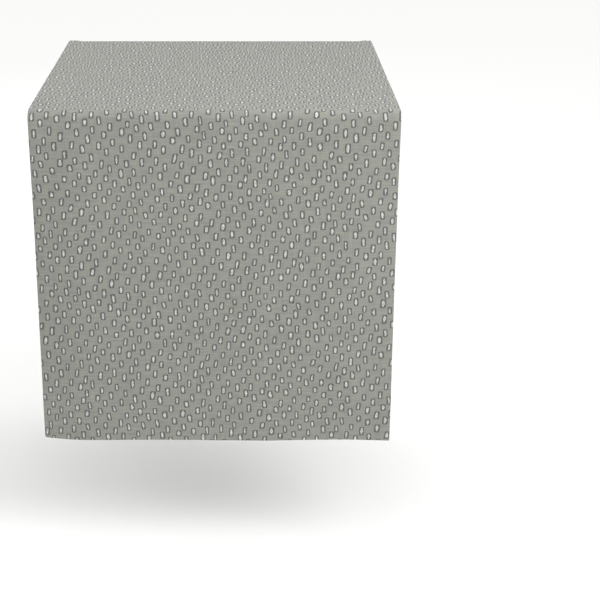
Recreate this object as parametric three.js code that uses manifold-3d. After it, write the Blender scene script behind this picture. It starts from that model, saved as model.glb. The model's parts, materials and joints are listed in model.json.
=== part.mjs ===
// A hemmed cloth table runner, draped across a table top so that both ends hang down.
//
// Millimetres. Z is up, X runs across the runner's width and -Y is its front.
// The origin is the middle of the lying section's underside, where it rests on the table top.
// The cloth is sectioned at its fold lines: a lying section, a curved fold over each table
// edge and a hanging drop below each fold.

import * as THREE from 'three';
import { mergeVertices } from 'three/addons/utils/BufferGeometryUtils.js';
import Module from 'manifold-3d';

// Driving dimensions.
const runnerLength = 1400; // along the cloth, laid flat
const runnerWidth = 480;
const tableDepth = 470; // the table top that the runner lies across, front to back
const bendRadius = 11.4; // inside of the fold over a table edge
const clothThickness = 0.6;
const hemWidth = 12; // the turned-under hem, finished
const hemThickness = 0.8; // its two turned layers, pressed
const threadThickness = 0.5; // the line of hemming stitches
const labelWidth = 26;
const labelHeight = 40;
const labelThickness = 0.4;
const labelOverHem = 4; // how much of the label lies over the side hem
const labelAboveEndHem = 30;
const clearance = 0.3; // between neighbouring pieces
const foldSteps = 8; // flats in the quarter turn of a fold

// Sizes that follow from them.
const halfWidth = runnerWidth / 2;
const quarterTurn = Math.PI / 2;
const foldLength = (bendRadius + clothThickness / 2) * quarterTurn;
const lyingLength = tableDepth - 2 * bendRadius;
const dropLength = (runnerLength - lyingLength) / 2 - foldLength;
const bandLift = hemThickness + clearance; // how far the cloth stands off the table over a hem
const bandWidth = hemWidth + threadThickness + 2 * clearance; // the raised edge, to its step
const stepWidth = clothThickness; // where the cloth steps down from the hem to the field
const mitreGap = clearance * Math.SQRT2;

const sides = { left: -1, right: 1 }; // seen from the front
const ends = { front: 1, back: -1 };

const wasm = await Module();
wasm.setup();

const materials = {
  cloth: { color: 0x979890, roughness: 0.92, metalness: 0 },
  hem: { color: 0xa6a69f, roughness: 0.94, metalness: 0 },
  thread: { color: 0x8b8c85, roughness: 0.7, metalness: 0 },
  label: { color: 0xeeeeea, roughness: 0.6, metalness: 0 },
};

function makeMesh(name, geometry, look) {
  const mesh = new THREE.Mesh(geometry, new THREE.MeshStandardMaterial(materials[look]));
  mesh.name = name;
  return mesh;
}

// Every piece is first made in the cloth's own coordinates:
// x across the width, y out of the cloth's face, z along its length.

function rectangle(x0, y0, x1, y1) {
  return new THREE.Shape([
    new THREE.Vector2(x0, y0),
    new THREE.Vector2(x1, y0),
    new THREE.Vector2(x1, y1),
    new THREE.Vector2(x0, y1),
  ]);
}

// Across the width: a flat field, a small step up at each side, and a raised band over each hem.
function panelSection() {
  const bandInside = halfWidth - bandWidth;
  const fieldEdge = bandInside - stepWidth;
  const bandTop = bandLift + clothThickness;
  const rightHalf = [
    [bandInside, 0],
    [bandInside, bandLift],
    [halfWidth, bandLift],
    [halfWidth, bandTop],
    [fieldEdge, bandTop],
    [fieldEdge, clothThickness],
  ];
  const leftHalf = rightHalf.map(([x, y]) => [-x, y]).reverse();
  const outline = [...rightHalf, ...leftHalf];
  return new THREE.Shape(outline.map(([x, y]) => new THREE.Vector2(x, y)));
}

// A strip between two distances from the runner's centre line, on one side of it.
function sideStrip(side, inner, outer, thickness) {
  const x = [side * inner, side * outer].sort((a, b) => a - b);
  return rectangle(x[0], 0, x[1], thickness);
}

const hemInside = halfWidth - hemWidth;
const threadOutside = hemInside - clearance;
const threadInside = threadOutside - threadThickness;

const sections = {
  hem: (side) => sideStrip(side, hemInside, halfWidth, hemThickness),
  thread: (side) => sideStrip(side, threadInside, threadOutside, threadThickness),
};

function straight(section, length) {
  return new THREE.ExtrudeGeometry(section, { depth: length, bevelEnabled: false });
}

// The same section carried round the quarter turn over the table's edge.
function bent(section) {
  const geometry = new THREE.ExtrudeGeometry(section, {
    depth: quarterTurn,
    steps: foldSteps,
    bevelEnabled: false,
  });
  const position = geometry.attributes.position;
  for (let i = 0; i < position.count; i += 1) {
    const angle = position.getZ(i);
    const radius = bendRadius + position.getY(i);
    position.setXYZ(i, position.getX(i), -radius * Math.sin(angle), radius * Math.cos(angle));
  }
  geometry.computeVertexNormals();
  return geometry;
}

// A flat piece cut to an outline of (x, z) points and given its thickness.
function flatPiece(points, thickness) {
  const shape = new THREE.Shape(points.map(([x, z]) => new THREE.Vector2(x, z)));
  const geometry = new THREE.ExtrudeGeometry(shape, { depth: thickness, bevelEnabled: false });
  return geometry.rotateX(quarterTurn).translate(0, thickness, 0);
}

function box(x0, y0, z0, x1, y1, z1) {
  const geometry = new THREE.BoxGeometry(x1 - x0, y1 - y0, z1 - z0);
  return geometry.translate((x0 + x1) / 2, (y0 + y1) / 2, (z0 + z1) / 2);
}

function toSolid(geometry) {
  const bare = geometry.clone();
  bare.deleteAttribute('normal');
  bare.deleteAttribute('uv');
  const merged = mergeVertices(bare);
  return new wasm.Manifold(
    new wasm.Mesh({
      numProp: 3,
      vertProperties: new Float32Array(merged.attributes.position.array),
      triVerts: new Uint32Array(merged.index.array),
    }),
  );
}

function join(geometries) {
  const solid = geometries.map(toSolid).reduce((whole, next) => whole.add(next));
  const mesh = solid.getMesh();
  const geometry = new THREE.BufferGeometry();
  geometry.setAttribute('position', new THREE.BufferAttribute(mesh.vertProperties, 3));
  geometry.setIndex(new THREE.BufferAttribute(mesh.triVerts, 1));
  geometry.computeVertexNormals();
  return geometry;
}

// The section that lies on the table, with its hems and their stitches.
function lyingSection() {
  const group = new THREE.Group();
  const length = lyingLength - 2 * clearance;
  group.add(makeMesh('top_panel', straight(panelSection(), length), 'cloth'));
  for (const [side, sign] of Object.entries(sides)) {
    group.add(makeMesh(`top_${side}_hem`, straight(sections.hem(sign), length), 'hem'));
    group.add(makeMesh(`top_${side}_stitches`, straight(sections.thread(sign), length), 'thread'));
  }
  group.rotation.x = quarterTurn;
  group.position.y = length / 2;
  return group;
}

// One fold over a table edge. The turn's centre is the group's origin.
function fold(end, mirror) {
  const group = new THREE.Group();
  group.add(makeMesh(`${end}_fold`, bent(panelSection()), 'cloth'));
  for (const [side, sign] of Object.entries(sides)) {
    const local = sign * mirror;
    group.add(makeMesh(`${end}_fold_${side}_hem`, bent(sections.hem(local)), 'hem'));
    group.add(makeMesh(`${end}_fold_${side}_stitches`, bent(sections.thread(local)), 'thread'));
  }
  group.position.set(0, -lyingLength / 2, -bendRadius);
  return group;
}

// The hanging cloth: its field and side bands, closed by a raised band along the end.
function dropPanel() {
  const bandStart = dropLength - bandWidth;
  const stepStart = bandStart - stepWidth;
  const bandTop = bandLift + clothThickness;
  const fieldHalf = halfWidth - bandWidth;
  const upper = straight(panelSection(), bandStart - clearance).translate(0, 0, clearance);
  const endBand = box(-halfWidth, bandLift, stepStart, halfWidth, bandTop, dropLength);
  const endStep = box(-fieldHalf, 0, stepStart, fieldHalf, bandTop, bandStart);
  return join([upper, endStep, endBand]);
}

// Side and end hems meet at a mitre in each corner.
function sideHem(sign) {
  const outerEnd = dropLength - mitreGap;
  return flatPiece(
    [
      [sign * halfWidth, clearance],
      [sign * halfWidth, outerEnd],
      [sign * hemInside, outerEnd - hemWidth],
      [sign * hemInside, clearance],
    ],
    hemThickness,
  );
}

function endHem() {
  const innerEdge = dropLength - hemWidth;
  return flatPiece(
    [
      [-halfWidth, dropLength],
      [halfWidth, dropLength],
      [hemInside, innerEdge],
      [-hemInside, innerEdge],
    ],
    hemThickness,
  );
}

function endThread() {
  const outer = dropLength - hemWidth - clearance;
  const inner = outer - threadThickness;
  return box(-threadOutside, 0, inner, threadOutside, threadThickness, outer);
}

function sideThread(sign) {
  const length = dropLength - hemWidth - threadThickness - 3 * clearance;
  return straight(sections.thread(sign), length).translate(0, 0, clearance);
}

// A blank care label on the reverse, its root over the side hem.
function careLabel() {
  const outer = hemInside + labelOverHem;
  const lower = dropLength - hemWidth - labelAboveEndHem;
  const reverse = -clearance;
  return box(
    outer - labelWidth,
    reverse - labelThickness,
    lower - labelHeight,
    outer,
    reverse,
    lower,
  );
}

// One hanging drop. Its inner face is the group's y = 0 plane and z runs down.
function drop(end, mirror) {
  const group = new THREE.Group();
  group.add(makeMesh(`${end}_drop_panel`, dropPanel(), 'cloth'));
  for (const [side, sign] of Object.entries(sides)) {
    const local = sign * mirror;
    group.add(makeMesh(`${end}_drop_${side}_hem`, sideHem(local), 'hem'));
    group.add(makeMesh(`${end}_drop_${side}_stitches`, sideThread(local), 'thread'));
  }
  group.add(makeMesh(`${end}_drop_end_hem`, endHem(), 'hem'));
  group.add(makeMesh(`${end}_drop_end_stitches`, endThread(), 'thread'));
  if (end === 'back') {
    group.add(makeMesh('care_label', careLabel(), 'label'));
  }
  group.rotation.x = Math.PI;
  group.position.set(0, -tableDepth / 2, -bendRadius);
  return group;
}

const runner = new THREE.Group();
runner.add(lyingSection());
for (const [end, mirror] of Object.entries(ends)) {
  const hangingEnd = new THREE.Group();
  hangingEnd.add(fold(end, mirror), drop(end, mirror));
  hangingEnd.rotation.z = end === 'back' ? Math.PI : 0;
  runner.add(hangingEnd);
}

export default runner;
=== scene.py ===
import json
import math

import bpy
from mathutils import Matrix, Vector, noise


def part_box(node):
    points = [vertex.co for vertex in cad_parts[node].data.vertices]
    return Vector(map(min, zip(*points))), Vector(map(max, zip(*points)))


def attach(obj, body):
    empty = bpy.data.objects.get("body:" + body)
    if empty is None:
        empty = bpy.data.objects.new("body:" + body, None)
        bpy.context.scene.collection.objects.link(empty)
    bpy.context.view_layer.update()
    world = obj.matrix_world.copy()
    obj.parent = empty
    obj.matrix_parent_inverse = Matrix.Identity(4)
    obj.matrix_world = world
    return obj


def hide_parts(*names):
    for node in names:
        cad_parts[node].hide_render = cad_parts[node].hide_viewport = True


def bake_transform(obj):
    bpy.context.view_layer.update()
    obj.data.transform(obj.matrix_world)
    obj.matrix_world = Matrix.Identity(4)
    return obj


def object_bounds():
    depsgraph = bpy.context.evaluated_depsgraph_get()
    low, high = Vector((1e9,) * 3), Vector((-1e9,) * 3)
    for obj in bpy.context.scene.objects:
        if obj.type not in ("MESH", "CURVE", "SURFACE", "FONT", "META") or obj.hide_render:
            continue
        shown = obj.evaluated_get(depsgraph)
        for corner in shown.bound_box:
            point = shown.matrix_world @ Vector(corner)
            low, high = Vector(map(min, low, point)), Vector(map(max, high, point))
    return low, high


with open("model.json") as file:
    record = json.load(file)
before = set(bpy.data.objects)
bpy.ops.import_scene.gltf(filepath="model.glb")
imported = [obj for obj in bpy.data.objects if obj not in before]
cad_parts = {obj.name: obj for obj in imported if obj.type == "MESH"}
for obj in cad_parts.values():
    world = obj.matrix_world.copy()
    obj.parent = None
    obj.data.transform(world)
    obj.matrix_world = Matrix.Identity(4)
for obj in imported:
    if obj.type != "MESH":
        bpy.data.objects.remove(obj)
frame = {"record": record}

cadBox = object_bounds()

# The camera stands in front of the runner, a little right of its middle, and looks down on it.
cameraView = {
    "aside": 0.039,
    "distance": 1.75,  # from the front drop
    "height": 0.440,  # over the table top
    "lookDown": 19.3,  # degrees
    "lens": 84.2,
    "sensor": 36.0,
    "shiftX": 0.092,
    "shiftY": -0.1,
}


def placeCamera(v):
    data = bpy.data.cameras.new("runnerCamera")
    data.lens = v["lens"]
    data.sensor_width = v["sensor"]
    data.shift_x = v["shiftX"]
    data.shift_y = v["shiftY"]
    data.clip_end = 100
    camera = bpy.data.objects.new("runnerCamera", data)
    bpy.context.collection.objects.link(camera)
    camera.location = (v["aside"], cadBox[0].y - v["distance"], v["height"])
    camera.rotation_euler = (math.radians(90 - v["lookDown"]), 0, 0)
    bpy.context.scene.camera = camera


placeCamera(cameraView)
print("camera placed")


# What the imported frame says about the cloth, in metres.
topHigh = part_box("top_panel")[1]
foldLow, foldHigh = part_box("front_fold")
hemLow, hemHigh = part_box("top_right_hem")
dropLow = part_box("front_drop_panel")[0]
faceThickness = frame["record"]["mounts"][1]["pos_m"][2]
halfWidth = topHigh.x
bendRadius = -foldLow.z  # inside of the fold over a table edge
flatHalf = -foldHigh.y  # from the middle of the table to where a fold starts
tableHalf = flatHalf + bendRadius
foldLength = (bendRadius + faceThickness / 2) * math.pi / 2
hangStart = flatHalf + foldLength
clothHalf = hangStart - bendRadius - dropLow.z  # from the middle to an end, along the cloth
hemWidth = hemHigh.x - hemLow.x
hemThickness = hemHigh.z
hemLift = topHigh.z - faceThickness
seamBeforeFold = 0.006
seamAt = flatHalf - seamBeforeFold  # where the lying piece of cloth meets the hanging ones


def smooth(t):
    t = min(1, max(0, t))
    return t * t * (3 - 2 * t)


# How far the cloth stands off its even surface. x runs across, run is the distance from the
# middle along the cloth, and end is -1 for the front and 1 for the back.
sway = {
    "top": 0.0005,  # gentle relief of the lying part
    "topAcross": 0.11,
    "topAlong": 0.16,
    "hang": 0.0034,  # slow waves of the hanging part, full at its lower end
    "ripple": 0.3,  # smaller waves on the slow ones
    "waveWidth": 0.12,
    "slant": 0.5,  # how far the waves lean over as they go down
    "leftCurl": 0.0085,  # the side hems turn back towards the table
    "rightCurl": 0.0060,
    "rightFlare": 1.25,  # of the right curl, taken off again lower down
    "rightFlareFrom": 0.42,  # of the way down
    "edgeReach": 0.068,
    "endCurl": 0.0030,
    "endReach": 0.07,
}

# Soft folds of each hanging part: from (x, down), to (x, down), width and height.
softFolds = {
    -1: (
        ((0.088, 0.170), (0.006, 0.392), 0.019, 0.0034),
        ((0.034, 0.020), (0.120, 0.215), 0.022, 0.0016),
        ((0.205, 0.175), (0.142, 0.318), 0.011, 0.0023),
        ((-0.212, 0.030), (-0.150, 0.150), 0.012, 0.0014),
        ((-0.120, 0.120), (-0.200, 0.400), 0.024, 0.0022),
        ((0.150, 0.330), (0.205, 0.475), 0.020, 0.0022),
    ),
    1: (
        ((-0.060, 0.120), (0.030, 0.380), 0.022, 0.0030),
        ((0.120, 0.060), (0.176, 0.300), 0.017, 0.0024),
        ((-0.200, 0.200), (-0.130, 0.420), 0.018, 0.0025),
        ((0.060, 0.300), (-0.020, 0.470), 0.020, 0.0018),
    ),
}


def foldHeight(x, down, fold):
    (x0, down0), (x1, down1), width, height = fold
    dx, dy = x1 - x0, down1 - down0
    length = math.hypot(dx, dy)
    along = ((x - x0) * dx + (down - down0) * dy) / length**2
    across = ((x - x0) * dy - (down - down0) * dx) / length
    fade = smooth(along / 0.4) * smooth((1 - along) / 0.4)
    return height * fade * math.exp(-0.5 * (across / width) ** 2)


def clothSway(x, run, end):
    v = sway
    relief = noise.noise(Vector((x / v["topAcross"], end * run / v["topAlong"], 3.7)))
    lying = max(0, v["top"] * (0.5 + relief) * smooth((flatHalf + 0.01 - run) / 0.06))
    down = run - flatHalf
    if down <= 0:
        return lying
    hang = down / (clothHalf - flatHalf)
    leaning = (x + v["slant"] * down) / v["waveWidth"]
    wave = noise.noise(Vector((leaning, hang * 1.3, 5.1 + 7 * end)))
    ripple = noise.noise(Vector((leaning * 2.1, hang * 2.4, 9.3 + 5 * end)))
    height = v["hang"] * (wave + v["ripple"] * ripple) * hang**0.9
    height += sum(foldHeight(x, down, fold) for fold in softFolds[end])
    nearEdge = max(0, 1 - (halfWidth - abs(x)) / v["edgeReach"])
    if x < 0:
        curl = v["leftCurl"] * smooth(hang * 2.5)
    else:
        flare = v["rightFlare"] * smooth((hang - v["rightFlareFrom"]) / 0.5)
        curl = v["rightCurl"] * (smooth(hang * 4) - flare)
    nearEnd = max(0, 1 - (clothHalf - run) / v["endReach"])
    return lying + height - curl * nearEdge**2 - v["endCurl"] * nearEnd**2


cornerRound = 0.0018
cornerReach = 0.012  # how far in from the side a corner's rounding is felt


def besideCorner(x, run):
    # The cloth's corners are a little rounded: near its ends the sides draw in.
    short = cornerRound - (clothHalf - run)
    if short <= 0:
        return x
    inset = cornerRound - math.sqrt(max(0, cornerRound**2 - short**2))
    nearEdge = max(0, 1 - (halfWidth - abs(x)) / cornerReach)
    return x - math.copysign(inset * nearEdge, x)


def lay(x, run, end, lift):
    # A point of the cloth, lift above the surface that it lies on, laid over the table.
    height = lift + clothSway(x, run, end)
    x = besideCorner(x, run)
    if run <= flatHalf:
        return Vector((x, end * run, height))
    if run < hangStart:
        angle = (run - flatHalf) / foldLength * math.pi / 2
        radius = bendRadius + height
        y = flatHalf + radius * math.sin(angle)
        return Vector((x, end * y, radius * math.cos(angle) - bendRadius))
    return Vector((x, end * (tableHalf + height), hangStart - run - bendRadius))


def stations(*stops):
    # Places from the first stop to the last, each stretch at about the spacing given before it.
    places = [stops[0]]
    for spacing, stop in zip(stops[1::2], stops[2::2]):
        start = places[-1]
        count = max(1, round(abs(stop - start) / spacing))
        places += [start + (stop - start) * i / count for i in range(1, count + 1)]
    return places


def mirrored(places):
    return places + [-p for p in reversed(places[:-1])]


# How closely the cloth is divided, in metres.
divide = {
    "field": 0.0054,
    "fold": 0.0014,
    "besideFold": 0.002,
    "hem": 0.0022,
    "besideHem": 0.002,
    "rounding": 0.00022,
    "endHemCorner": 0.004,
}
edgeRound = 0.0009  # the folded edge of the cloth is rounded by this much
stepDown = 0.009  # the cloth comes down over this much from the hem to the flat field
pastHem = 0.024  # this far in from the edge the cloth is flat again
acrossEdge = (
    0, divide["rounding"], edgeRound, divide["hem"], hemWidth, divide["besideHem"], pastHem,
)
fromSide = stations(*acrossEdge, divide["field"], halfWidth)
acrossCloth = mirrored([d - halfWidth for d in fromSide])
overTable = stations(0, divide["field"], seamAt)
overFold = (
    seamAt, divide["besideFold"], flatHalf, divide["fold"], hangStart, divide["besideFold"],
    hangStart + 0.012, divide["field"],
)


def edgeDistance(x, run):
    return max(0, min(halfWidth - abs(x), clothHalf - run))


def faceLift(x, run):
    # The outer face: up over the hem, then rounded off at the edge.
    d = edgeDistance(x, run)
    lift = faceThickness + hemLift * (1 - smooth((d - hemWidth * 0.95) / stepDown))
    if d < edgeRound:
        lift -= edgeRound - math.sqrt(max(0, edgeRound**2 - (edgeRound - d) ** 2))
    return lift


def activeObject():
    return bpy.context.view_layer.objects.active


def gridPiece(name, columns, rows, place, mapTo):
    # A grid whose vertices go where place(column, row) says; mapTo gives its cloth coordinates.
    bpy.ops.object.select_all(action="DESELECT")
    bpy.ops.mesh.primitive_grid_add(
        x_subdivisions=len(columns) - 1, y_subdivisions=len(rows) - 1, size=1, calc_uvs=False
    )
    piece = activeObject()
    piece.name = name
    piece.data.name = name
    uvMap = piece.data.uv_layers.new(name="clothMetres")
    at = []
    for vertex in piece.data.vertices:
        column = columns[round((vertex.co.x + 0.5) * (len(columns) - 1))]
        row = rows[round((vertex.co.y + 0.5) * (len(rows) - 1))]
        at.append(mapTo(column, row))
        vertex.co = place(column, row)
    for loop in piece.data.loops:
        uvMap.data[loop.index].uv = at[loop.vertex_index]
    return piece


def thicken(piece, thickness, roundEdge=0):
    solid = piece.modifiers.new("thickness", "SOLIDIFY")
    solid.thickness = thickness
    solid.offset = -1
    solid.use_quality_normals = True
    solid.material_offset = 1
    solid.material_offset_rim = 1
    if roundEdge:
        bevel = piece.modifiers.new("roundEdge", "BEVEL")
        bevel.width = roundEdge
        bevel.segments = 2
        bevel.limit_method = "ANGLE"
        bevel.angle_limit = math.radians(50)
    for modifier in list(piece.modifiers):
        bpy.ops.object.modifier_apply(modifier=modifier.name)


# The map that the cloth's colours are baked through: the printed face takes most of the width,
# the reverse the rest, and the cut edge is a narrow rim round the printed face.
bakeLayout = {
    "margin": 0.006,
    "height": 0.988,
    "faceWidth": 0.694,
    "reverseFrom": 0.712,
    "reverseWidth": 0.282,
    "rim": 0.004,
}


def addBakeMap(piece, faceVertices, layout):
    mesh = piece.data
    clothMap = mesh.uv_layers["clothMetres"].data
    bakeMap = mesh.uv_layers.new(name="OFBake").data
    runs = [corner.uv[1] for corner in clothMap]
    low, high = min(runs), max(runs)
    for face in mesh.polygons:
        onFace = [mesh.loops[i].vertex_index < faceVertices for i in face.loop_indices]
        spot = [clothMap[i].uv for i in face.loop_indices]
        isRim = any(onFace) and not all(onFace)
        isSide = isRim and all(abs(abs(uv[0]) - halfWidth) < 1e-5 for uv in spot)
        for i, outer, (x, run) in zip(face.loop_indices, onFace, spot):
            across = (x + halfWidth) / (2 * halfWidth)
            along = (run - low) / (high - low)
            u = layout["reverseFrom"] + layout["reverseWidth"] * across
            if any(onFace):
                u = layout["margin"] + layout["faceWidth"] * across
            v = layout["margin"] + layout["height"] * along
            if isRim and not outer:
                u += math.copysign(layout["rim"], across - 0.5) if isSide else 0
                v += 0 if isSide else math.copysign(layout["rim"], along - 0.5)
            bakeMap[i].uv = (u, v)


def smoothShade(piece, angle=40):
    bpy.ops.object.select_all(action="DESELECT")
    piece.select_set(True)
    bpy.context.view_layer.objects.active = piece
    bpy.ops.object.shade_smooth_by_angle(angle=math.radians(angle), keep_sharp_edges=False)


def dress(piece, *materials):
    piece.data.materials.clear()
    for material in materials:
        piece.data.materials.append(material)


# Small helpers for building node trees: each adds a node and gives its output.
def plug(tree, value, socket):
    if isinstance(value, bpy.types.NodeSocket):
        tree.links.new(value, socket)
    else:
        socket.default_value = value


def addNode(tree, kind, inputs=None, **settings):
    made = tree.nodes.new(kind)
    for key, value in settings.items():
        setattr(made, key, value)
    for key, value in (inputs or {}).items():
        plug(tree, value, made.inputs[key])
    return made


def maths(tree, operation, *values):
    made = addNode(tree, "ShaderNodeMath", dict(enumerate(values)), operation=operation)
    return made.outputs[0]


def vectors(tree, operation, *values):
    made = addNode(tree, "ShaderNodeVectorMath", dict(enumerate(values)), operation=operation)
    return made.outputs["Value" if operation in ("LENGTH", "DOT_PRODUCT") else "Vector"]


def scaled(tree, vector, factor):
    made = addNode(tree, "ShaderNodeVectorMath", {0: vector, "Scale": factor}, operation="SCALE")
    return made.outputs[0]


def turned(tree, vector, angle):
    made = addNode(tree, "ShaderNodeVectorRotate", {0: vector, "Angle": angle},
                   rotation_type="Z_AXIS")
    return made.outputs[0]


def noiseOf(tree, vector, scale, detail=2.0, roughness=0.5, output="Fac"):
    inputs = {"Vector": vector, "Scale": scale, "Detail": detail, "Roughness": roughness}
    made = addNode(tree, "ShaderNodeTexNoise", inputs, noise_dimensions="2D")
    return made.outputs[output]


def ramp(tree, value, low, high, toLow=0.0, toHigh=1.0):
    inputs = {"Value": value, "From Min": low, "From Max": high, "To Min": toLow, "To Max": toHigh}
    made = addNode(tree, "ShaderNodeMapRange", inputs, interpolation_type="SMOOTHSTEP")
    return made.outputs[0]


def mixed(tree, share, first, second, blend="MIX"):
    made = addNode(tree, "ShaderNodeMix", data_type="RGBA", blend_type=blend)
    plug(tree, share, made.inputs["Factor"])
    plug(tree, first, made.inputs[6])
    plug(tree, second, made.inputs[7])
    return made.outputs[2]


def strayed(tree, vector, cloth, scale, detail, reach):
    # The vector, moved a little this way and that by noise over the cloth.
    wander = noiseOf(tree, cloth, scale, detail, 0.5, "Color")
    wander = scaled(tree, vectors(tree, "SUBTRACT", wander, (0.5, 0.5, 0.5)), reach)
    return vectors(tree, "ADD", vector, wander)


def newGroup(name, inputs, outputs):
    group = bpy.data.node_groups.new(name, "ShaderNodeTree")
    for socketName, kind in inputs.items():
        group.interface.new_socket(socketName, in_out="INPUT", socket_type=kind)
    for socketName, kind in outputs.items():
        group.interface.new_socket(socketName, in_out="OUTPUT", socket_type=kind)
    start = group.nodes.new("NodeGroupInput")
    end = group.nodes.new("NodeGroupOutput")
    return group, start.outputs, end.inputs


def useGroup(tree, group, **inputs):
    made = addNode(tree, "ShaderNodeGroup", node_tree=group)
    for key, value in inputs.items():
        plug(tree, value, made.inputs[key])
    return made.outputs


def tint(red, green, blue):
    # A screen colour from 0 to 255 as the linear colour that the shader takes.
    def linear(c):
        c /= 255
        return c / 12.92 if c <= 0.04045 else ((c + 0.055) / 1.055) ** 2.4
    return (linear(red), linear(green), linear(blue), 1)


number, vector = "NodeSocketFloat", "NodeSocketVector"

# The weave's unevenness. A scale is how many changes a metre holds, across and along the cloth.
weaveLook = {
    "wander": 0.0012,  # how far threads stray from their line
    "wanderScale": 90.0,
    "warpScale": (900.0, 34.0, 0.0),  # tone of single threads
    "weftScale": (28.0, 820.0, 0.0),
    "thickWarpScale": (400.0, 14.0, 0.0),  # the few thicker threads
    "thickWeftScale": (20.0, 420.0, 0.0),
    "thickWarp": 0.6,
    "thickWeft": 1.4,
    "thickTone": 0.9,
    "middleTone": 1.9,  # taken off, so that the tone goes both ways
    "crossing": 0.5,  # shares of the relief
    "ridge": 0.25,
    "slub": 0.35,
}


def makeWeave(v):
    # Plain weave of uneven threads: Relief for the bump, Slub for the tone of single threads.
    tree, given, result = newGroup(
        "plainWeave",
        {"Cloth": vector, "Pitch": number},
        {"Relief": number, "Slub": number},
    )
    place = strayed(tree, given["Cloth"], given["Cloth"], v["wanderScale"], 2.0, v["wander"])
    turns = maths(tree, "DIVIDE", math.pi, given["Pitch"])
    place = scaled(tree, place, turns)
    axes = addNode(tree, "ShaderNodeSeparateXYZ", {0: place}).outputs
    warp = maths(tree, "SINE", axes["X"])
    weft = maths(tree, "SINE", axes["Y"])
    crossing = maths(tree, "MULTIPLY", warp, weft)
    ridge = maths(tree, "ADD", maths(tree, "ABSOLUTE", warp), maths(tree, "ABSOLUTE", weft))
    ridge = maths(tree, "MULTIPLY", ridge, v["ridge"])
    relief = maths(tree, "MULTIPLY_ADD", crossing, v["crossing"], ridge)

    def threadNoise(scale, *settings):
        return noiseOf(tree, vectors(tree, "MULTIPLY", given["Cloth"], v[scale]), 1.0, *settings)

    slub = maths(
        tree, "ADD", threadNoise("warpScale", 3.0, 0.6), threadNoise("weftScale", 3.0, 0.6)
    )
    thick = maths(tree, "MULTIPLY", threadNoise("thickWarpScale"), v["thickWarp"])
    thick = maths(tree, "MULTIPLY_ADD", threadNoise("thickWeftScale"), v["thickWeft"], thick)
    plug(tree, maths(tree, "MULTIPLY_ADD", slub, v["slub"], relief), result["Relief"])
    tone = maths(tree, "SUBTRACT", slub, v["middleTone"])
    plug(tree, maths(tree, "MULTIPLY_ADD", thick, v["thickTone"], tone), result["Slub"])
    return tree


# The print: upright pebbles drawn by hand, scattered without order. Metres.
pebble = {
    "pitch": 0.0150,  # of the slanting rows that they're scattered from
    "turn": 0.606,  # of the rows, in radians
    "scatter": 0.27,
    "waver": 0.012,  # how far the rows wander
    "waverScale": 9.0,
    "halfWidth": 0.0033,
    "halfHeight": 0.0057,
    "corner": 0.0023,
    "tilt": 0.23,
    "bend": 0.0011,  # how far the outline wanders
    "bendScale": 125.0,
    "tremor": 0.00024,
    "tremorScale": 420.0,
    "leastWidth": 0.88,  # of the half width, with the spread added by chance
    "widthSpread": 0.24,
    "leastHeight": 0.87,
    "heightSpread": 0.26,
    "line": 0.00150,
    "leastLine": 0.35,  # of the line, with the swell added by the pen's pressure
    "lineSwell": 1.3,
    "pressureScale": 210.0,
    "paintWidth": 0.0015,
    "paintInset": (1.22, 1.0, 0.0),  # in lines, from the side and from the top
    "brushScale": (470.0, 270.0, 0.0),
    "brushRange": (0.40, 0.72),
    "overshoot": 0.0009,  # pen strokes that cross at a corner
    "overshootLine": 0.38,  # their half width, in lines
    "soft": 0.00022,
}


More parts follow.
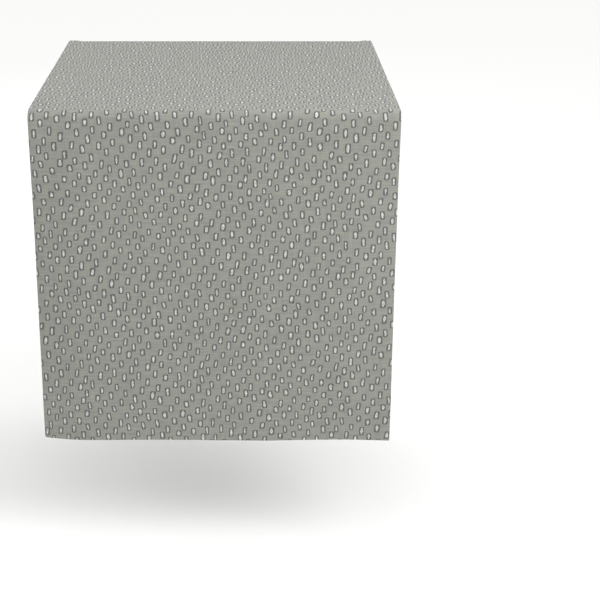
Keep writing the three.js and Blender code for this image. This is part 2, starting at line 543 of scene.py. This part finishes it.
def makePebbles(v):
    tree, given, result = newGroup(
        "pebblePrint",
        {"Cloth": vector},
        {"Line": number, "Fill": number, "Brush": number},
    )
    place = strayed(tree, given["Cloth"], given["Cloth"], v["waverScale"], 1.0, v["waver"])
    place = turned(tree, scaled(tree, place, 1 / v["pitch"]), v["turn"])
    cells = addNode(
        tree,
        "ShaderNodeTexVoronoi",
        {"Vector": place, "Scale": 1.0, "Randomness": v["scatter"]},
        voronoi_dimensions="2D",
        feature="F1",
    ).outputs
    fromMiddle = turned(tree, vectors(tree, "SUBTRACT", place, cells["Position"]), -v["turn"])
    local = scaled(tree, fromMiddle, v["pitch"])
    chance = addNode(tree, "ShaderNodeSeparateColor", {0: cells["Color"]}).outputs
    for stray in ("bend", "tremor"):
        local = strayed(tree, local, given["Cloth"], v[stray + "Scale"], 1.0, v[stray])
    tilt = maths(tree, "MULTIPLY", maths(tree, "SUBTRACT", chance[0], 0.5), v["tilt"])
    local = turned(tree, local, tilt)
    signed = addNode(tree, "ShaderNodeSeparateXYZ", {0: local}).outputs
    local = vectors(tree, "ABSOLUTE", local)

    def varied(size, share, least, spread):
        return maths(tree, "MULTIPLY_ADD", share, v[spread] * v[size], v[least] * v[size])

    wide = varied("halfWidth", chance[1], "leastWidth", "widthSpread")
    high = varied("halfHeight", chance[2], "leastHeight", "heightSpread")
    size = addNode(tree, "ShaderNodeCombineXYZ", {"X": wide, "Y": high}).outputs[0]
    straight = vectors(tree, "SUBTRACT", size, (v["corner"], v["corner"], 0.0))
    past = vectors(tree, "MULTIPLY", vectors(tree, "SUBTRACT", local, straight), (1.0, 1.0, 0.0))
    beyond = vectors(tree, "LENGTH", vectors(tree, "MAXIMUM", past, (0, 0, 0)))
    outside = maths(tree, "SUBTRACT", beyond, v["corner"])
    pressure = noiseOf(tree, given["Cloth"], v["pressureScale"], 2.0)
    line = varied("line", pressure, "leastLine", "lineSwell")
    whole = ramp(tree, outside, -v["soft"], v["soft"], 1.0, 0.0)
    # the paint inside is an upright drop, so the line is thickest in the corners
    room = addNode(tree, "ShaderNodeCombineXYZ", {"X": line, "Y": line}).outputs[0]
    room = vectors(tree, "MULTIPLY", room, v["paintInset"])
    room = vectors(tree, "SUBTRACT", vectors(tree, "ADD", size, (0, 0, 1)), room)
    drop = vectors(tree, "LENGTH", vectors(tree, "DIVIDE", local, room))
    drop = maths(tree, "MULTIPLY", maths(tree, "SUBTRACT", drop, 1.0), v["paintWidth"])
    inner = ramp(tree, drop, -v["soft"], v["soft"], 1.0, 0.0)
    # the two long strokes run on a little at the top of one side and the foot of the other
    side, foot = maths(tree, "SIGN", signed["X"]), maths(tree, "SIGN", signed["Y"])
    side = maths(tree, "MULTIPLY", side, foot)
    reach = maths(tree, "MULTIPLY", maths(tree, "MULTIPLY", side, v["overshoot"]), chance[0])
    reach = maths(tree, "SUBTRACT", reach, v["overshoot"])
    gap = vectors(tree, "SUBTRACT", local, size)
    gap = addNode(tree, "ShaderNodeSeparateXYZ", {0: gap}).outputs
    middle = maths(tree, "MULTIPLY_ADD", line, 0.5, gap["X"])
    middle = maths(tree, "ABSOLUTE", middle)
    thin = maths(tree, "MULTIPLY_ADD", line, -v["overshootLine"], middle)
    stroke = maths(tree, "MAXIMUM", thin, maths(tree, "SUBTRACT", gap["Y"], reach))
    stroke = ramp(tree, stroke, -v["soft"], v["soft"], 1.0, 0.0)
    drawn = maths(tree, "MAXIMUM", maths(tree, "SUBTRACT", whole, inner), stroke)
    plug(tree, drawn, result["Line"])
    plug(tree, maths(tree, "MULTIPLY", inner, maths(tree, "SUBTRACT", 1.0, stroke)), result["Fill"])
    strokes = vectors(tree, "MULTIPLY", given["Cloth"], v["brushScale"])
    brush = ramp(tree, noiseOf(tree, strokes, 1.0, 1.0), *v["brushRange"])
    plug(tree, brush, result["Brush"])
    return tree


weave = makeWeave(weaveLook)
pebbles = makePebbles(pebble)


def newMaterial(name):
    material = bpy.data.materials.new(name)
    material.use_nodes = True
    tree = material.node_tree
    tree.nodes.clear()
    shader = tree.nodes.new("ShaderNodeBsdfPrincipled")
    output = tree.nodes.new("ShaderNodeOutputMaterial")
    tree.links.new(shader.outputs[0], output.inputs[0])
    return material, tree, shader


def clothPlace(tree):
    return addNode(tree, "ShaderNodeUVMap", uv_map="clothMetres").outputs[0]


# The woven ground and its two sides. Colours are screen colours.
clothLook = {
    "groundWarm": (146, 147, 138),
    "groundCool": (143, 143, 139),
    "line": (92, 93, 90),
    "fill": (179, 180, 177),
    "fillBright": (215, 216, 212),
    "reverse": (176, 176, 169),
    "driftScale": 75.0,  # of the change from warm to cool
    "driftRange": (0.38, 0.62),
    "inkCover": 0.93,
    "paintCover": 0.95,
    "threadInk": 0.5,  # how much the threads show through the line
    "threadTone": 0.26,
    # painted shade in the weave's hollows and painted light on its ridges, by the relief
    "reliefShadeAndLight": 0.07,
    "hollowShade": 0.03,  # painted shade: taken off the tone, so that the weave's hollows come out darker than its ridges
    "threadPitch": 0.00092,
    "threadHeight": 0.00016,
    "bump": 0.55,
    "roughness": 0.93,
    "ridgeGloss": 0.06,  # how much smoother the ridges of the weave are
    "sheen": 0.18,
    "sheenRoughness": 0.5,
    "specular": 0.25,
}


def clothMaterial(name, v, printed, ghost):
    # printed is how strongly the print shows; ghost is how much of the reverse's pale tone does
    material, tree, shader = newMaterial(name)
    cloth = clothPlace(tree)
    threads = useGroup(tree, weave, Cloth=cloth, Pitch=v["threadPitch"])
    marks = useGroup(tree, pebbles, Cloth=cloth)
    drift = ramp(tree, noiseOf(tree, cloth, v["driftScale"], 3.0, 0.6), *v["driftRange"])
    ground = mixed(tree, drift, tint(*v["groundWarm"]), tint(*v["groundCool"]))
    ground = mixed(tree, ghost, ground, tint(*v["reverse"]))
    cover = v["inkCover"] * printed
    ink = maths(tree, "MULTIPLY_ADD", threads["Slub"], v["threadInk"], cover)
    shade = mixed(tree, maths(tree, "MULTIPLY", marks["Line"], ink), ground, tint(*v["line"]))
    paint = mixed(tree, marks["Brush"], tint(*v["fill"]), tint(*v["fillBright"]))
    painted = maths(tree, "MULTIPLY", marks["Fill"], v["paintCover"] * printed)
    shade = mixed(tree, painted, shade, paint)
    tone = maths(tree, "MULTIPLY_ADD", threads["Slub"], v["threadTone"], 1.0)
    # the single threads' tone is their own; the relief below paints shade into the weave's hollows
    # and light onto its ridges
    tone = maths(tree, "SUBTRACT", tone, v["hollowShade"])
    tone = maths(tree, "MULTIPLY_ADD", threads["Relief"], v["reliefShadeAndLight"], tone)
    toned = addNode(tree, "ShaderNodeCombineColor", {0: tone, 1: tone, 2: tone}).outputs[0]
    plug(tree, mixed(tree, 1.0, shade, toned, "MULTIPLY"), shader.inputs["Base Color"])
    rough = maths(tree, "MULTIPLY_ADD", threads["Relief"], -v["ridgeGloss"], v["roughness"])
    plug(tree, rough, shader.inputs["Roughness"])
    inputs = {"Height": threads["Relief"], "Distance": v["threadHeight"], "Strength": v["bump"]}
    bump = addNode(tree, "ShaderNodeBump", inputs)
    plug(tree, bump.outputs[0], shader.inputs["Normal"])
    shader.inputs["Sheen Weight"].default_value = v["sheen"]
    shader.inputs["Sheen Roughness"].default_value = v["sheenRoughness"]
    shader.inputs["Specular IOR Level"].default_value = v["specular"]
    return material


printedCloth = clothMaterial("printedCloth", clothLook, printed=1.0, ghost=0.0)
clothReverse = clothMaterial("clothReverse", clothLook, printed=0.16, ghost=0.8)


# Cotton thread, close to the ground in colour, with a fine twist, painted darker in the twist's
# hollows and lighter on its ridges.
threadLook = {
    "shadedHollow": (132, 133, 126),
    "ridge": (170, 171, 163),
    "twistScale": 2600.0,
    "twistHeight": 0.0001,
    "bump": 0.4,
    "roughness": 0.6,
    "sheen": 0.2,
}


def threadMaterial(v):
    material, tree, shader = newMaterial("sewingThread")
    place = addNode(tree, "ShaderNodeTexCoord").outputs["Object"]
    inputs = {"Vector": place, "Scale": v["twistScale"], "Detail": 2.0}
    twist = addNode(tree, "ShaderNodeTexNoise", inputs).outputs["Fac"]
    # painted shade in the twist's hollows and painted light on its ridges, from the same noise as
    # the bump
    shade = mixed(tree, twist, tint(*v["shadedHollow"]), tint(*v["ridge"]))
    plug(tree, shade, shader.inputs["Base Color"])
    inputs = {"Height": twist, "Distance": v["twistHeight"], "Strength": v["bump"]}
    plug(tree, addNode(tree, "ShaderNodeBump", inputs).outputs[0], shader.inputs["Normal"])
    shader.inputs["Roughness"].default_value = v["roughness"]
    shader.inputs["Sheen Weight"].default_value = v["sheen"]
    return material


# White satin tape with fine ribs across, painted lighter as sheen where its grain stands high.
satinLook = {
    "grainShade": (222, 222, 217),
    "grainSheen": (240, 240, 236),
    "ribPitch": 0.0006,
    "ribShare": 0.4,  # of the relief; the rest is grain
    "grainScale": (300.0, 2400.0, 0.0),
    "height": 0.00008,
    "bump": 0.5,
    "roughness": 0.34,
    "roughnessSpread": 0.2,
    "sheen": 0.1,
}


def labelMaterial(v):
    material, tree, shader = newMaterial("labelSatin")
    place = clothPlace(tree)
    axes = addNode(tree, "ShaderNodeSeparateXYZ", {0: place}).outputs
    ribs = maths(tree, "MULTIPLY", axes["Y"], 2 * math.pi / v["ribPitch"])
    ribs = maths(tree, "SINE", ribs)
    grain = noiseOf(tree, vectors(tree, "MULTIPLY", place, v["grainScale"]), 1.0, 2.0)
    # painted sheen on the raised grain and painted shade on the lower grain, from the same noise as
    # the bump
    shade = mixed(tree, grain, tint(*v["grainShade"]), tint(*v["grainSheen"]))
    plug(tree, shade, shader.inputs["Base Color"])
    height = maths(tree, "MULTIPLY_ADD", ribs, v["ribShare"], grain)
    inputs = {"Height": height, "Distance": v["height"], "Strength": v["bump"]}
    plug(tree, addNode(tree, "ShaderNodeBump", inputs).outputs[0], shader.inputs["Normal"])
    rough = maths(tree, "MULTIPLY_ADD", grain, v["roughnessSpread"], v["roughness"])
    plug(tree, rough, shader.inputs["Roughness"])
    shader.inputs["Sheen Weight"].default_value = v["sheen"]
    return material


sewingThread = threadMaterial(threadLook)
labelSatin = labelMaterial(satinLook)
print("materials made")


def makeCloth(name, rows, place):
    # A length of the cloth, with its printed face, its reverse and its edge.
    piece = gridPiece(name, acrossCloth, rows, place, lambda x, run: (x, run))
    dress(piece, printedCloth, clothReverse)
    faceVertices = len(piece.data.vertices)
    thicken(piece, faceThickness)
    addBakeMap(piece, faceVertices, bakeLayout)
    smoothShade(piece)
    return piece


def makeLyingCloth():
    rows = mirrored([-r for r in reversed(overTable)])

    def place(x, run):
        return lay(x, abs(run), math.copysign(1, run), faceLift(x, abs(run)))

    piece = makeCloth("lyingCloth", rows, place)
    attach(piece, "lying_cloth")
    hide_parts("top_panel")
    return piece


hangingRows = stations(
    *overFold, clothHalf - pastHem, divide["besideHem"], clothHalf - hemWidth, divide["hem"],
    clothHalf - edgeRound, divide["rounding"], clothHalf,
)


def blendOverEdge(piece):
    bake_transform(piece)


def makeHangingCloth(side, end):
    rows = [end * r for r in hangingRows]
    if end < 0:
        rows.reverse()

    def place(x, run):
        return lay(x, abs(run), end, faceLift(x, abs(run)))

    piece = makeCloth(side + "Cloth", rows, place)
    blendOverEdge(piece)
    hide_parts(side + "_fold", side + "_drop_panel")
    return piece


lyingCloth = makeLyingCloth()
hangingCloth = {side: makeHangingCloth(side, end) for side, end in (("front", -1), ("back", 1))}
print("cloth made")


# A hem is the same cloth turned under, so its outside shows the print as it comes round the edge.
hemFold = {
    "thickness": 0.94,  # of the room between the cloth and the table
    "roundEdge": 0.00018,
    "thinner": 0.0003,  # at its inner edge, where the cloth inside it is folded
    "thinnerOver": 0.0015,
    "from": 0.0002,  # it starts this far in, under the cloth's rounded edge
    "outerBend": 0.0011,
    "innerBend": 0.0007,
}
acrossHem = stations(
    hemFold["from"], 0.0003, hemFold["outerBend"], 0.0024,
    hemWidth - hemFold["innerBend"], 0.00035, hemWidth,
)


def hemLiftAt(d):
    reach = hemFold["thinnerOver"]
    return hemThickness - hemFold["thinner"] * smooth((d - hemWidth + reach) / reach)


def makeHem(name, columns, rows, place, onPrint):
    piece = gridPiece(name, columns, rows, place, onPrint)
    dress(piece, printedCloth, printedCloth)
    thicken(piece, hemThickness * hemFold["thickness"], hemFold["roundEdge"])
    smoothShade(piece)
    return piece


def makeSideHem(name, sideSign, end, rows, mitre):
    columns = [sideSign * (halfWidth - d) for d in acrossHem]
    if sideSign > 0:
        columns.reverse()
    last = max(rows)

    def place(x, run):
        d = halfWidth - abs(x)
        along = abs(run)
        if mitre:
            along = rows[0] + (along - rows[0]) * (last - d - rows[0]) / (last - rows[0])
        return lay(x, along, math.copysign(1, run) if end == 0 else end, hemLiftAt(d))

    def onPrint(x, run):
        return (sideSign * (halfWidth + halfWidth - abs(x)), run)

    placed = [end * r for r in rows] if end else [-r for r in reversed(rows[1:])] + rows
    if end < 0:
        placed.reverse()
    piece = makeHem(name, columns, placed, place, onPrint)
    return piece


def makeEndHem(side, end):
    runs = [end * (clothHalf - d) for d in acrossHem]
    if end > 0:
        runs.reverse()
    fromCorner = stations(0, divide["endHemCorner"], pastHem, divide["field"], halfWidth)
    columns = mirrored([d - halfWidth for d in fromCorner])

    def place(x, run):
        d = clothHalf - abs(run)
        return lay(x * (halfWidth - d) / halfWidth, abs(run), end, hemLiftAt(d))

    def onPrint(x, run):
        return (x, end * (2 * clothHalf - abs(run)))

    piece = makeHem(side + "EndHem", columns, runs, place, onPrint)
    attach(piece, side + "_drop")
    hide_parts(side + "_drop_end_hem")
    return piece


hangingHemRows = stations(*overFold, clothHalf)
hems = {"top": [], "front": [], "back": []}
for sideName, sideSign in (("Left", -1), ("Right", 1)):
    lower = sideName.lower()
    hem = makeSideHem("top" + sideName + "Hem", sideSign, 0, overTable, False)
    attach(hem, "lying_cloth")
    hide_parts("top_" + lower + "_hem")
    hems["top"].append(hem)
    for side, end in (("front", -1), ("back", 1)):
        hem = makeSideHem(side + sideName + "Hem", sideSign, end, hangingHemRows, True)
        blendOverEdge(hem)
        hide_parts(side + "_fold_" + lower + "_hem", side + "_drop_" + lower + "_hem")
        hems[side].append(hem)
for side, end in (("front", -1), ("back", 1)):
    hems[side].append(makeEndHem(side, end))
print("hems made")


# Slanted hemming stitches: each goes over the hem's inner edge and into the cloth beyond it.
stitch = {
    "pitch": 0.0052,
    "onHem": 0.0013,
    "onCloth": 0.0009,
    "slant": 0.0013,
    "radius": 0.00019,
    "sides": 6,
    "taper": 0.55,  # of both ends, where the thread dives into the cloth
    "fromEnd": 0.002,  # a side row stops this far short of the end hem
    "fromCorner": 0.003,  # and an end row this far short of the side hems
}


def modelStitch(v):
    # One stitch. x is the distance in from the cloth's edge, y runs along it and z is the lift.
    slant = v["slant"]
    route = [
        Vector((hemWidth - v["onHem"], -slant / 2, 0.00012)),
        Vector((hemWidth - v["onHem"] * 0.7, -slant * 0.35, -0.00022)),
        Vector((hemWidth - v["onHem"] * 0.1, 0, -0.00024)),
        Vector((hemWidth + v["onCloth"] * 0.4, slant * 0.3, 0.00030)),
        Vector((hemWidth + v["onCloth"], slant / 2, hemLift - 0.00002)),
    ]
    last = len(route) - 1
    bpy.ops.object.select_all(action="DESELECT")
    bpy.ops.mesh.primitive_cylinder_add(
        vertices=v["sides"], radius=v["radius"], depth=last, location=(0, 0, 0)
    )
    made = activeObject()
    made.name = "stitch"
    bpy.ops.object.mode_set(mode="EDIT")
    for ring in range(1, last):
        bpy.ops.mesh.select_all(action="SELECT")
        bpy.ops.mesh.bisect(plane_co=(0, 0, ring - last / 2), plane_no=(0, 0, 1))
    bpy.ops.object.mode_set(mode="OBJECT")
    for vertex in made.data.vertices:
        i = round(vertex.co.z + last / 2)
        ahead = route[min(i + 1, last)] - route[max(i - 1, 0)]
        width = v["taper"] if i in (0, last) else 1
        offset = Vector((vertex.co.x, vertex.co.y, 0)) * width
        vertex.co = route[i] + ahead.to_track_quat("Z", "Y") @ offset
    dress(made, sewingThread)
    return made


oneStitch = modelStitch(stitch)


def makeStitches(name, spots):
    # spots gives, for each stitch, a function from (distance in from the edge, along, lift)
    copies = []
    for spot in spots:
        copy = oneStitch.copy()
        copy.data = oneStitch.data.copy()
        bpy.context.collection.objects.link(copy)
        for vertex in copy.data.vertices:
            vertex.co = spot(*vertex.co)
        copies.append(copy)
    bpy.ops.object.select_all(action="DESELECT")
    for copy in copies:
        copy.select_set(True)
    bpy.context.view_layer.objects.active = copies[0]
    bpy.ops.object.join()
    piece = activeObject()
    piece.name = name
    piece.data.name = name
    bpy.ops.object.mode_set(mode="EDIT")
    bpy.ops.mesh.select_all(action="SELECT")
    bpy.ops.mesh.normals_make_consistent(inside=False)
    bpy.ops.object.mode_set(mode="OBJECT")
    smoothShade(piece, 60)
    return piece


def sideSpots(sideSign, ends, start, stop):
    count = int((stop - start) / stitch["pitch"])
    spots = []
    for end in ends:
        for i in range(count):
            middle = start + (i + 0.5) * (stop - start) / count

            def spot(d, along, lift, middle=middle, end=end):
                return lay(sideSign * (halfWidth - d), middle + along, end, lift)

            spots.append(spot)
    return spots


def endSpots(end):
    reach = halfWidth - hemWidth - stitch["fromCorner"]
    count = int(2 * reach / stitch["pitch"])
    spots = []
    for i in range(count):
        middle = -reach + (i + 0.5) * 2 * reach / count

        def spot(d, along, lift, middle=middle):
            return lay(middle + along, clothHalf - d, end, lift)

        spots.append(spot)
    return spots


stitches = {"top": [], "front": [], "back": []}
for sideName, sideSign in (("Left", -1), ("Right", 1)):
    lower = sideName.lower()
    row = makeStitches("top" + sideName + "Stitches", sideSpots(sideSign, (-1, 1), 0, seamAt))
    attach(row, "lying_cloth")
    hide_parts("top_" + lower + "_stitches")
    stitches["top"].append(row)
    for side, end in (("front", -1), ("back", 1)):
        stop = clothHalf - hemWidth - stitch["fromEnd"]
        spots = sideSpots(sideSign, (end,), seamAt, stop)
        row = makeStitches(side + sideName + "Stitches", spots)
        blendOverEdge(row)
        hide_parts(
            side + "_fold_" + lower + "_stitches", side + "_drop_" + lower + "_stitches"
        )
        stitches[side].append(row)
for side, end in (("front", -1), ("back", 1)):
    row = makeStitches(side + "EndStitches", endSpots(end))
    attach(row, side + "_drop")
    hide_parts(side + "_drop_end_stitches")
    stitches[side].append(row)
bpy.data.objects.remove(oneStitch)
print("stitches made")


label = {
    "thickness": 0.00028,
    "roundEdge": 0.00008,
    "gap": 0.0003,  # between the cloth and the sewn side
    "standOff": 0.0026,  # of the free side
    "belly": 0.0006,
    "acrossSpacing": 0.0013,
    "downSpacing": 0.0014,
}


def makeLabel(v):
    low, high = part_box("care_label")
    columns = stations(low.x, v["acrossSpacing"], high.x)
    rows = stations(low.z, v["downSpacing"], high.z)
    middle = (low.z + high.z) / 2

    def place(x, z):
        run = hangStart - z - bendRadius
        free = (x - low.x) / (high.x - low.x)
        belly = math.sin(math.pi * (z - low.z) / (high.z - low.z))
        return lay(x, run, 1, -v["gap"] - (v["standOff"] * free**1.6 + v["belly"] * belly))

    piece = gridPiece("careLabel", columns, rows, place, lambda x, z: (x - low.x, z - middle))
    dress(piece, labelSatin, labelSatin)
    thicken(piece, v["thickness"], v["roundEdge"])
    smoothShade(piece)
    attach(piece, "back_drop")
    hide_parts("care_label")
    return piece


careLabel = makeLabel(label)

# Studio: a pale floor at the foot of the table that holds the runner, and soft light.
studio = {
    "floor": -0.645,
    "floorSize": 60,
    "floorColour": (253, 253, 252),
    "world": (1.0, 1.0, 1.0, 1),
    "worldStrength": 0.20,
    "backdropStrength": 0.93,  # what the camera sees beyond the floor
    "ceiling": {"from": (0.12, -0.10, 0.985), "spread": 100, "strength": 2.5},
    "window": {"at": (0.92, -1.06, 0.90), "size": 0.9, "power": 12.6},
    "behind": {"at": (-1.30, 1.60, 1.00), "size": 1.2, "power": 9.0},
    "aim": (0, -0.1, -0.2),
}


def makeStudio(v):
    bpy.ops.object.select_all(action="DESELECT")
    bpy.ops.mesh.primitive_plane_add(size=v["floorSize"], location=(0, 0, v["floor"]))
    floor = activeObject()
    floor.name = "studioFloor"
    material, tree, shader = newMaterial("studioFloor")
    shader.inputs["Base Color"].default_value = tint(*v["floorColour"])
    shader.inputs["Roughness"].default_value = 0.9
    dress(floor, material)
    world = bpy.data.worlds.new("studioWorld")
    world.use_nodes = True
    sky = world.node_tree.nodes["Background"]
    seen = addNode(world.node_tree, "ShaderNodeBackground")
    for background, strength in ((sky, "worldStrength"), (seen, "backdropStrength")):
        background.inputs["Color"].default_value = v["world"]
        background.inputs["Strength"].default_value = v[strength]
    byRay = addNode(world.node_tree, "ShaderNodeMixShader")
    path = addNode(world.node_tree, "ShaderNodeLightPath").outputs["Is Camera Ray"]
    for value, socket in zip((path, sky.outputs[0], seen.outputs[0]), byRay.inputs):
        plug(world.node_tree, value, socket)
    plug(world.node_tree, byRay.outputs[0], world.node_tree.nodes["World Output"].inputs[0])
    bpy.context.scene.world = world
    aim = Vector(v["aim"])
    data = bpy.data.lights.new("ceilingLamp", "SUN")
    data.angle = math.radians(v["ceiling"]["spread"])
    data.energy = v["ceiling"]["strength"]
    ceiling = bpy.data.objects.new("ceilingLamp", data)
    ceiling.rotation_euler = Vector(v["ceiling"]["from"]).to_track_quat("Z", "Y").to_euler()
    lights = [ceiling]
    for name in ("window", "behind"):
        data = bpy.data.lights.new(name + "Lamp", "AREA")
        data.shape = "DISK"
        data.size = v[name]["size"]
        data.energy = v[name]["power"]
        lamp = bpy.data.objects.new(name + "Lamp", data)
        lamp.location = v[name]["at"]
        lamp.rotation_euler = (lamp.location - aim).to_track_quat("Z", "Y").to_euler()
        lights.append(lamp)
    for light in lights:
        bpy.context.collection.objects.link(light)
    bpy.context.scene.view_settings.view_transform = "Standard"


makeStudio(studio)
print("studio made")
